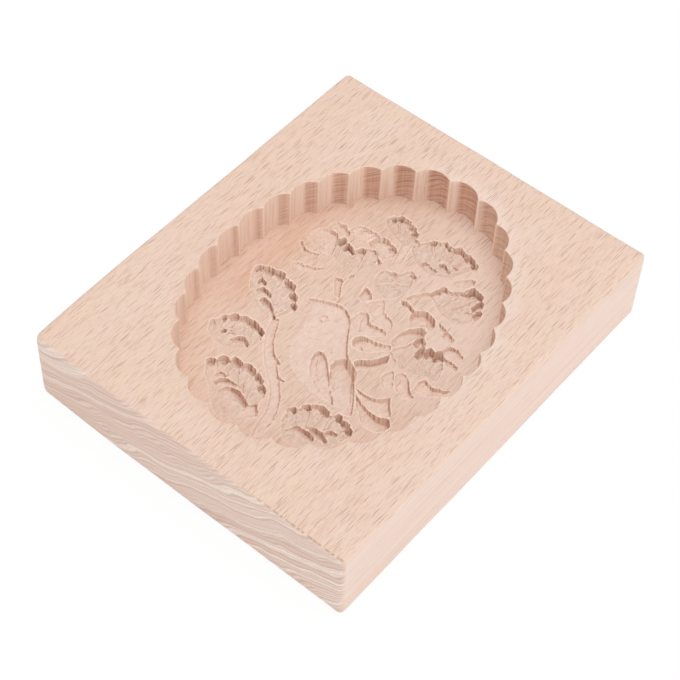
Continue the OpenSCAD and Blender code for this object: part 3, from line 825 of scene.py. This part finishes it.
def add_top(m, outer, rim, near_edge):
    """Flat face between the board's edge and the rim of the hollow."""
    x, y = np.meshgrid(*(np.arange(-half, half + 1, TOP_PITCH) for half in (TOP_HALF_X, TOP_HALF_Y)))
    spare = np.stack([x.ravel(), y.ravel()], 1)
    clear = np.all(np.abs(spare) < [WIDTH / 2 - EDGE_CLEAR, LENGTH / 2 - EDGE_CLEAR], axis=1)
    spare = spare[clear & ~inside_outline(spare, fluted_outline(RIM_CLEAR))]
    extra = m.add(np.concatenate([spare, near_edge]), THICKNESS, 0)
    board, hollow = m.places(outer), m.places(rim)
    edges = loop_edges(0, len(outer)) + loop_edges(len(outer), len(rim))
    m.fill(np.concatenate([outer, rim, extra]), edges,
           lambda q: inside_outline(q, board) & ~inside_outline(q, hollow))


def widened(mask):
    """A mask with the neighbours of its places."""
    wide = mask.copy()
    wide[1:] |= mask[:-1]
    wide[:-1] |= mask[1:]
    wide[:, 1:] |= mask[:, :-1]
    wide[:, :-1] |= mask[:, 1:]
    return wide


def add_floor(m, carving, bottom):
    """Carved floor: a fine mesh where something is cut, and flat triangles from there to the wall's bottom.
    Returns the number of the vertex at each place of the carving, or -1, and the vertices around the mesh."""
    cut = carving.depth > LEAST_CUT
    for _ in range(4):
        cut = widened(cut)
    # The four corners of every cell of the grid, going round it
    first, last = slice(None, -1), slice(1, None)
    corners = [(first, first), (first, last), (last, last), (last, first)]
    cells = np.all([cut[corner] for corner in corners], axis=0)
    used = np.zeros(cut.shape, bool)
    for corner in corners:
        used[corner] |= cells
    number = np.full(cut.shape, -1)
    places = np.stack([carving.x[used], carving.y[used]], 1)
    number[used] = m.add(places, FLOOR_Z - carving.depth[used], 1)
    a, b, c, d = (number[corner] for corner in corners)
    m.faces.extend(np.stack([a[cells], b[cells], c[cells], d[cells]], 1).tolist())
    # Edges around the cells
    beside = np.pad(cells, 1)
    sides = []
    for neighbour, start, end in ((beside[:-2, 1:-1], a, b), (beside[2:, 1:-1], d, c),
                                  (beside[1:-1, :-2], a, d), (beside[1:-1, 2:], b, c)):
        border = cells & ~neighbour
        sides.append(np.stack([start[border], end[border]], 1))
    sides = np.concatenate(sides)
    ring = np.unique(sides)
    edges = [tuple(edge) for edge in (np.searchsorted(ring, sides) + len(bottom)).tolist()]
    loop, origin = m.places(bottom), (carving.x[0, 0], carving.y[0, 0])

    def flat_floor(q):
        column, row = np.clip(((q - origin) / PITCH).astype(int), 0, np.array(cells.shape[::-1]) - 1).T
        return inside_outline(q, loop) & ~cells[row, column]

    m.fill(np.concatenate([bottom, ring]), loop_edges(0, len(bottom)) + edges, flat_floor)
    return number, ring


def wood_layers(m, rows, carving, number, ring):
    """What the material reads at each vertex: whether it is in the hollow, how deeply and steeply it is cut,
    how pale it is at the edges of cuts, the flutes' ridges and the rim, which is painted highlight with some
    burr, or as a tuft of fibres, how much its grain tears together with painted shade on the flutes, and
    whether it is on the ground of a leaf."""
    used = number >= 0
    at = number[used]
    carved, steep, burr_and_highlight, torn_and_shade, grey = (np.zeros(m.count) for _ in range(5))
    carved[at] = smooth((carving.depth[used] - 0.25) / 0.3)
    down_y, down_x = np.gradient(carving.depth, PITCH)
    steep[at] = smooth((np.hypot(down_x, down_y)[used] - 0.35) / 1.1)
    # Painted highlight along the upper edges of the cuts, with the burr of fibres there; tufts are pale
    # fibres
    rim = smooth((blurred(carving.clean, 3) - carving.clean) / 0.13)
    burr_and_highlight[at] = np.maximum(rim, carving.tufts)[used]
    burr_and_highlight[ring] = 0
    # Painted highlight on the ridges between the flutes and on the rounded rim
    burr_and_highlight[np.concatenate([row[::POINTS_PER_FLUTE] for row in rows[:-1]])] = RIDGE_HIGHLIGHT
    burr_and_highlight[np.concatenate(rows[1:3])] = RIM_HIGHLIGHT
    # Tear-out of the grain across the flutes, together with painted shade on their sides turned away from the
    # light
    torn_and_shade[np.concatenate(rows)] = np.tile(torn_grain_and_shade(), len(rows))
    grey[at] = carving.grey[used]
    return {"hollow": np.concatenate(m.hollow), "carved": carved, "steep": steep, "burr_and_highlight": burr_and_highlight, "torn_and_shade": torn_and_shade,
            "grey": grey}


def build_block():
    """The whole block as one object."""
    m = Mesher()
    outer, near_edge = add_board(m)
    rows = add_wall(m)
    add_top(m, outer, rows[0], near_edge)
    carving = carve_picture(m.places(rows[-1]))
    number, ring = add_floor(m, carving, rows[-1])
    mesh = bpy.data.meshes.new("carved_block")
    mesh.from_pydata((np.concatenate(m.points) * MM).tolist(), [], m.faces)
    mesh.polygons.foreach_set("use_smooth", np.ones(len(mesh.polygons), bool))
    for name, values in wood_layers(m, rows, carving, number, ring).items():
        mesh.attributes.new(name, "FLOAT", "POINT").data.foreach_set("value", values.astype(np.float32))
    # Crisp lines: the ridges between flutes, the foot of the wall and the edges of the carving
    mesh.set_sharp_from_angle(angle=CREASE)
    mesh.update()
    mesh.validate()
    block = bpy.data.objects.new("carved_block", mesh)
    bpy.context.scene.collection.objects.link(block)
    return block


# Materials


def rgb(r, g, b):
    """A full colour from its red, green and blue."""
    return (r, g, b, 1.0)


class Shader:
    """Adds nodes to a material and joins them. An input is a value, a colour or another node's output."""

    def __init__(self, name):
        self.material = bpy.data.materials.new(name)
        self.material.use_nodes = True
        self.tree = self.material.node_tree
        self.tree.nodes.clear()

    def outputs(self, kind, inputs=(), **settings):
        """All the outputs of a new node."""
        node = self.tree.nodes.new("ShaderNode" + kind)
        for name, value in settings.items():
            setattr(node, name, value)
        for key, value in dict(inputs).items():
            if isinstance(value, bpy.types.NodeSocket):
                self.tree.links.new(value, node.inputs[key])
            else:
                node.inputs[key].default_value = value
        return node.outputs

    def node(self, kind, inputs=(), output=0, **settings):
        """One output of a new node."""
        return self.outputs(kind, inputs, **settings)[output]

    def done(self, surface):
        """The material, with its surface joined."""
        self.outputs("OutputMaterial", {0: surface})
        return self.material

    def attribute(self, name):
        """A layer of the mesh."""
        return self.node("Attribute", output=2, attribute_name=name)

    def math(self, operation, a, b=0.0, clamp=False):
        return self.node("Math", {0: a, 1: b}, operation=operation, use_clamp=clamp)

    def plus(self, a, b):
        return self.math("ADD", a, b)

    def times(self, a, b):
        return self.math("MULTIPLY", a, b)

    def most(self, a, b):
        return self.math("MAXIMUM", a, b)

    def rest(self, share):
        """What a share leaves of 1."""
        return self.math("SUBTRACT", 1.0, share)

    def ramp(self, value, start, end, low=0.0, high=1.0):
        """Eased step from low to high while a value goes from start to end."""
        inputs = {"Value": value, "From Min": start, "From Max": end, "To Min": low, "To Max": high}
        return self.node("MapRange", inputs, interpolation_type="SMOOTHSTEP")

    def near(self, value, centre, start, end, high=1.0):
        """High near a centre, falling to 0 from one distance to another."""
        return self.ramp(self.math("ABSOLUTE", self.plus(value, -centre)), start, end, high, 0.0)

    def mix(self, share, a, b):
        """Colour a with a share of colour b."""
        return self.node("Mix", {0: share, 6: a, 7: b}, output=2, data_type="RGBA")

    def over(self, colour, *tints):
        """A colour with tints laid over it in turn, each as its share and its red, green and blue."""
        for share, tint in tints:
            colour = self.mix(share, colour, rgb(*tint))
        return colour

    def stretched(self, vector, scale):
        return self.node("VectorMath", {0: vector, 1: scale}, operation="MULTIPLY")

    def noise(self, vector, scale, detail=2.0, rough=0.5):
        """Noise in space, with a scale along each axis."""
        inputs = {"Vector": self.stretched(vector, scale), "Scale": 1.0, "Detail": detail, "Roughness": rough}
        return self.node("TexNoise", inputs, noise_dimensions="3D")

    def lines(self, distance, scale, detail):
        """Noise along one distance."""
        inputs = {"W": self.times(distance, scale), "Scale": 1.0, "Detail": detail}
        return self.node("TexNoise", inputs, noise_dimensions="1D")


class Wood(Shader):
    """What wood with its grain along y is coloured from: the place, the way that a face looks, the layers of
    the mesh, the growth rings and the fibres."""

    def __init__(self, name):
        super().__init__(name)
        place = self.node("TexCoord", output=3)
        self.place = self.node("VectorMath", {0: place, "Scale": 1 / MM}, operation="SCALE")
        self.x, self.y, self.z = self.outputs("SeparateXYZ", {0: self.place})
        shaded, flat = self.node("NewGeometry", output=1), self.node("NewGeometry", output=3)
        self.facing_x, self.facing_y, self.facing_z = self.outputs("SeparateXYZ", {0: shaded})
        self.level = self.node("SeparateXYZ", {0: flat}, output=2)
        self.hollow = self.attribute("hollow")
        self.carved = self.attribute("carved")
        # Tear-out on the flutes together with painted shade, a little weaker towards the floor
        self.torn_and_shade = self.times(self.attribute("torn_and_shade"), self.ramp(self.z, 9.0, 19.0, 0.82, 1.0))
        self.end_grain = self.ramp(self.math("ABSOLUTE", self.facing_y), 0.2, 0.95)
        self.side = self.ramp(self.math("ABSOLUTE", self.facing_x), 0.6, 0.95)
        self.across = self.rightward(self.x, self.y)
        # Growth rings: distance from the heart of the tree, bent a little along the grain
        bend = self.grain((0.03, 0.006, 0.05))
        dx, dz = self.plus(self.x, -RING_X), self.plus(self.z, -RING_Z)
        radius = self.math("SQRT", self.plus(self.times(dx, dx), self.times(dz, dz)))
        self.radius = self.plus(radius, self.times(bend, 5.0))
        self.line = self.lines(self.radius, 2.3, 1.0)
        wavy = self.plus(self.radius, self.times(self.grain((0.07, 0.02, 0.12), 2.0, 0.45), 6.0))
        self.year, self.season = self.lines(wavy, 0.5, 2.0), self.lines(wavy, 1.5, 1.0)
        # Fibres along the grain
        self.fibre = self.grain((3.4, 0.16, 3.4), 3.0, 0.6)
        self.thread = self.grain((7.5, 0.5, 7.5), 2.0, 0.6)

    def grain(self, scale, detail=2.0, rough=0.5):
        """Noise in the wood, in millimetres, with a scale across the grain, along it and upwards."""
        return self.noise(self.place, scale, detail, rough)

    def rightward(self, x, y):
        """How far something reaches along the carved walls, towards the far right corner."""
        return self.plus(self.times(x, -FRONT[1]), self.times(y, FRONT[0]))


def ray_flecks(w):
    """Ray flecks: dark dashes along the grain, some large and many small, fewer where it is carved."""
    sizes = []
    for scale in ((4.4, 0.19, 0.19), (7.5, 0.42, 0.42)):
        inputs = {"Vector": w.stretched(w.place, scale), "Scale": 1.0, "Randomness": 1.0}
        cells = w.outputs("TexVoronoi", inputs)
        chosen = w.node("SeparateColor", {0: cells["Color"]})
        dashes = w.ramp(cells["Distance"], 0.2, 0.4, 1.0, 0.0)
        sizes.append(w.times(dashes, w.ramp(chosen, 0.15, 1.0)))
    fleck = w.most(sizes[0], w.times(sizes[1], 0.65))
    fleck = w.times(fleck, w.rest(w.most(w.end_grain, w.side)))
    return w.times(fleck, w.rest(w.times(w.carved, 0.6)))


def planed_faces(w):
    """Faces along the grain: bands of the rings, streaks, fibres and cloudiness."""
    broad, fine = w.lines(w.radius, 0.16, 1.0), w.lines(w.radius, 0.62, 2.0)
    bands = w.plus(w.times(w.ramp(broad, 0.35, 0.68), 0.55), w.times(w.ramp(fine, 0.38, 0.66), 0.45))
    streak, cloud = w.grain((0.8, 0.012, 0.8)), w.grain((0.09, 0.02, 0.09))
    patch = w.grain((0.33, 0.11, 0.33))
    return w.over(
        rgb(0.855, 0.645, 0.532),
        (w.times(bands, 0.35), (0.81, 0.58, 0.45)),
        (w.ramp(streak, 0.35, 0.68, 0.0, 0.45), (0.86, 0.66, 0.545)),
        (w.ramp(w.fibre, 0.40, 0.72, 0.0, 0.7), (0.745, 0.515, 0.395)),
        (w.ramp(w.thread, 0.5, 0.75, 0.0, 0.4), (0.70, 0.47, 0.355)),
        (w.ramp(cloud, 0.35, 0.7, 0.0, 0.30), (0.87, 0.675, 0.565)),
        (w.ramp(patch, 0.52, 0.72, 0.0, 0.4), (0.86, 0.615, 0.525)),
        (w.ramp(patch, 0.28, 0.48, 0.4, 0.0), (0.835, 0.645, 0.485)))


def long_sides(w):
    """Long sides of the board: plainer and pinker, with faint lines and pores along the grain."""
    lengthwise, pores = w.grain((0.5, 0.014, 0.75), 4.0, 0.65), w.grain((1.0, 0.16, 3.0), 1.0)
    return w.over(
        rgb(0.89, 0.715, 0.625),
        (w.times(w.fibre, 0.35), (0.82, 0.62, 0.52)),
        (w.ramp(lengthwise, 0.42, 0.66, 0.0, 0.55), (0.79, 0.585, 0.48)),
        (w.ramp(pores, 0.62, 0.74, 0.0, 0.35), (0.66, 0.44, 0.34)))


def end_faces(w):
    """End grain: greyer, with the rings showing as lines, closer together in two places."""
    close = w.most(w.near(w.radius, 294.0, 2.0, 9.0), w.near(w.radius, 312.0, 1.0, 5.0, 0.7))
    pores = w.grain((4.0, 0.1, 1.2), 2.0, 0.6)
    return w.over(
        rgb(0.92, 0.79, 0.71),
        (w.ramp(w.year, 0.32, 0.68), (0.775, 0.59, 0.50)),
        (w.times(close, 0.3), (0.70, 0.49, 0.40)),
        (w.ramp(w.season, 0.44, 0.66, 0.0, 0.65), (0.61, 0.42, 0.34)),
        (w.ramp(pores, 0.45, 0.7, 0.0, 0.3), (0.66, 0.49, 0.41)),
        (w.ramp(w.line, 0.48, 0.66, 0.0, 0.3), (0.60, 0.42, 0.335)))


def hollow_floor(w, colour):
    """Floor of the hollow: a little browner, as an unsanded cut and as painted shade of the recess, paler
    towards the far right as painted light, and with a reddish streak near its left side."""
    floor = w.times(w.hollow, w.ramp(w.facing_z, 0.7, 0.95))
    heart = w.times(w.near(w.x, -24.0, 1.5, 5.5), w.near(w.y, 4.0, 8.0, 22.0, 0.6))
    heart = w.times(heart, w.ramp(w.fibre, 0.3, 0.6, 0.4, 1.0))
    # Painted shade: browner streaks stand for the recess's shade as well as its unsanded cut; painted light
    # pales the floor towards the far right
    return w.over(
        colour,
        (w.times(floor, w.ramp(w.thread, 0.46, 0.7, 0.12, 0.5)), (0.72, 0.505, 0.395)),
        (w.times(floor, w.ramp(w.across, 8.0, 32.0, 0.0, 0.55)), (0.91, 0.745, 0.65)),
        (w.times(heart, floor), (0.76, 0.46, 0.33)))


def hollow_walls(w, colour):
    """Walls of the hollow: paler where the cut is clean, and browner where the grain tears across them and as
    painted shade on the parts of the flutes turned away from the light from the right.
    """
    wall = w.times(w.hollow, w.ramp(w.facing_z, 0.2, 0.8, 1.0, 0.0))
    scrape = w.grain((1.7, 1.7, 0.06), 3.0, 0.6)
    pale = w.mix(w.end_grain, rgb(0.905, 0.72, 0.605), rgb(0.945, 0.785, 0.675))
    colour = w.mix(w.times(wall, 0.8), colour, pale)
    scraped = w.times(wall, w.ramp(scrape, 0.48, 0.72, 0.0, 0.45))
    colour = w.mix(scraped, colour, rgb(0.66, 0.42, 0.305))
    seam = w.times(w.ramp(w.season, 0.49, 0.62, 0.0, 0.6), w.ramp(w.torn_and_shade, 0.0, 0.6, 0.3, 1.0))
    # Browner colour where the grain tears, laid also as painted shade on the flute sides turned away from the
    # light
    brown_and_shade = w.over(
        rgb(0.67, 0.41, 0.298),
        (w.ramp(w.line, 0.36, 0.64), (0.56, 0.31, 0.214)),
        (w.ramp(scrape, 0.42, 0.68, 0.0, 0.4), (0.46, 0.225, 0.145)),
        (seam, (0.33, 0.145, 0.09)))
    return w.mix(w.times(w.torn_and_shade, wall), colour, brown_and_shade)


def chipped_edge(w):
    """Small dark dashes on the near top edge, towards the right."""
    edge = w.near(w.facing_y, -0.42, 0.12, 0.3)
    edge = w.times(edge, w.math("SUBTRACT", w.ramp(w.x, 12.0, 26.0), w.hollow, clamp=True))
    return w.times(edge, w.ramp(w.grain((0.9, 0.0, 0.0), 1.0), 0.4, 0.55, 0.0, 0.65))


def cutter_marks_and_shade(w):
    """Marks of the cutter's passes on steep cuts, together with painted shade: darkest on cuts that face away
    from the light from the far right, towards the near left, and faint on those that face it.
    """
    steep = w.times(w.ramp(w.attribute("steep"), 0.0, 0.3), w.ramp(w.level, 0.55, 0.8, 1.0, 0.0))
    facing_light = w.rightward(w.facing_x, w.facing_y)
    # Painted shade: the less a cut faces the light from the far right, the darker it is painted
    marks_and_shade = w.times(steep, w.ramp(facing_light, -0.7, 0.35, 1.0, 0.05))
    return w.times(marks_and_shade, w.ramp(w.lines(w.across, 1.9, 1.0), 0.4, 0.58, 0.2, 1.0))


def pale_burr_and_highlights(w):
    """Pale lips around the cuts, painted highlight with some burr of fibres, pale tufts of fibres, and
    painted highlight on the ridges between the flutes and on the rim.
    """
    burr_and_highlight = w.times(w.attribute("burr_and_highlight"), w.ramp(w.grain((2.6, 1.3, 2.6)), 0.36, 0.6, 0.55, 1.0))
    above = w.ramp(w.z, FLOOR_Z + 0.2, FLOOR_Z + 0.6)
    return w.times(burr_and_highlight, w.most(w.ramp(w.level, 0.6, 0.85), above))


def carved_places(w, colour, marks_and_shade):
    """Carved places: pale and uneven bottoms, greyer grounds of leaves, painted shade that darkens them the
    lower they lie, browner steep cuts with painted shade on those turned away from the light, and pale lips
    that are painted highlight with some burr of fibres.
    """
    uneven = w.grain((1.1, 0.45, 1.1), 3.0, 0.6)
    # Painted shade: cuts are darker the further below the floor they lie
    deep_shade = w.times(w.hollow, w.ramp(w.z, FLOOR_Z - 2.2, FLOOR_Z - 0.5, 0.08, 0.0))
    ground = w.times(w.attribute("grey"), w.ramp(uneven, 0.35, 0.65, 0.15, 0.75))
    return w.over(
        colour,
        (w.times(w.carved, 0.65), (0.90, 0.705, 0.61)),
        (w.times(w.carved, w.ramp(uneven, 0.42, 0.7, 0.0, 0.4)), (0.73, 0.51, 0.40)),
        (ground, (0.72, 0.535, 0.435)),
        (deep_shade, (0.66, 0.46, 0.365)),
        (marks_and_shade, (0.545, 0.315, 0.22)),
        (pale_burr_and_highlights(w), (1.0, 0.79, 0.67)))


def beech():
    """The wood's material, with its fibres, flecks and the cutter's traces also as small bumps."""
    w = Wood("beech")
    outside = w.rest(w.hollow)
    colour = w.mix(w.times(w.side, outside), planed_faces(w), long_sides(w))
    colour = w.mix(w.times(w.end_grain, outside), colour, end_faces(w))
    colour = hollow_walls(w, hollow_floor(w, colour))
    fleck, marks_and_shade = ray_flecks(w), cutter_marks_and_shade(w)
    colour = w.over(
        colour,
        (chipped_edge(w), (0.52, 0.32, 0.22)),
        (w.times(fleck, 0.9), (0.48, 0.28, 0.19)))
    colour = carved_places(w, colour, marks_and_shade)
    height = w.plus(w.times(w.fibre, 0.6), w.times(fleck, -0.8))
    height = w.plus(height, w.times(marks_and_shade, 0.5))
    bump = w.node("Bump", {"Strength": 0.25, "Distance": 0.0001, "Height": height})
    rough = w.ramp(w.fibre, 0.2, 0.8, 0.58, 0.72)
    inputs = {"Base Color": colour, "Roughness": rough, "Normal": bump, "Specular IOR Level": 0.3}
    return w.done(w.node("BsdfPrincipled", inputs))


def paper():
    """White floor that the camera sees as almost pure white, with only a little of the object's shadow."""
    s = Shader("paper")
    grain = s.noise(s.node("TexCoord", output=3), (900.0, 900.0, 900.0))
    lit = s.node("BsdfDiffuse", {"Color": s.mix(grain, rgb(0.90, 0.90, 0.90), rgb(0.93, 0.93, 0.93))})
    glow = s.node("Emission", {"Color": rgb(1, 1, 1), "Strength": 1.02})
    seen = s.times(s.node("LightPath", output=0), 0.9)
    return s.done(s.node("MixShader", {0: seen, 1: lit, 2: glow}))


# Stage, light and camera


def build_stage():
    """A wide, flat, pale floor of several rings."""
    sides, radii = 64, (0.3, 0.9, 2.5, 6.0)
    angles = np.linspace(0, 2 * math.pi, sides, endpoint=False)
    points = [(0.0, 0.0, 0.0)]
    for radius in radii:
        points += [(radius * math.cos(a), radius * math.sin(a), 0.0) for a in angles]
    faces = [(0, 1 + i, 1 + (i + 1) % sides) for i in range(sides)]
    for ring in range(len(radii) - 1):
        for i in range(sides):
            a, b = 1 + ring * sides + i, 1 + ring * sides + (i + 1) % sides
            faces.append((a, a + sides, b + sides, b))
    mesh = bpy.data.meshes.new("floor")
    mesh.from_pydata(points, [], faces)
    mesh.materials.append(paper())
    floor = bpy.data.objects.new("floor", mesh)
    bpy.context.scene.collection.objects.link(floor)


def build_light():
    """An even white sky and three round lamps, each with its place, width and power."""
    world = bpy.data.worlds.new("studio")
    world.use_nodes = True
    sky = world.node_tree.nodes["Background"]
    sky.inputs["Color"].default_value = rgb(1, 1, 1)
    sky.inputs["Strength"].default_value = 0.70
    bpy.context.scene.world = world
    target = Vector((0, 0, 0.01))
    for name, place, size, power in (
        ("overhead", (0.06, 0.06, 0.80), 0.7, 2.1),
        ("right", (1.15, 0.35, 0.25), 0.5, 1.95),
        ("front", (0.30, -1.25, 0.22), 0.5, 2.2),
    ):
        light = bpy.data.lights.new(name, "AREA")
        light.shape = "DISK"
        light.size = size
        light.energy = power
        lamp = bpy.data.objects.new(name, light)
        lamp.location = place
        lamp.rotation_euler = (target - lamp.location).to_track_quat("-Z", "Y").to_euler()
        bpy.context.scene.collection.objects.link(lamp)


def build_camera():
    """The photograph's view."""
    level = math.cos(ELEVATION)
    back = Vector((math.sin(AZIMUTH) * level, -math.cos(AZIMUTH) * level, math.sin(ELEVATION)))
    right = Vector((0, 0, 1)).cross(back).normalized()
    up = back.cross(right)
    c, s = math.cos(ROLL), math.sin(ROLL)
    right, up = c * right - s * up, s * right + c * up
    data = bpy.data.cameras.new("camera")
    data.sensor_width = SENSOR
    data.lens = FOCAL_PIXELS / PHOTO_PIXELS * SENSOR
    data.clip_start, data.clip_end = 0.01, 20.0
    camera = bpy.data.objects.new("camera", data)
    turn = Matrix((right, up, back)).transposed().to_4x4()
    place = (VIEW_RIGHT * right + VIEW_UP * up + VIEW_BACK * back) * MM
    camera.matrix_world = Matrix.Translation(place) @ turn
    bpy.context.scene.collection.objects.link(camera)
    bpy.context.scene.camera = camera


block = build_block()
block.data.materials.append(beech())
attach(block, "root")
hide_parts("mold_block")
build_stage()
build_light()
build_camera()
bpy.context.scene.view_settings.view_transform = "Standard"
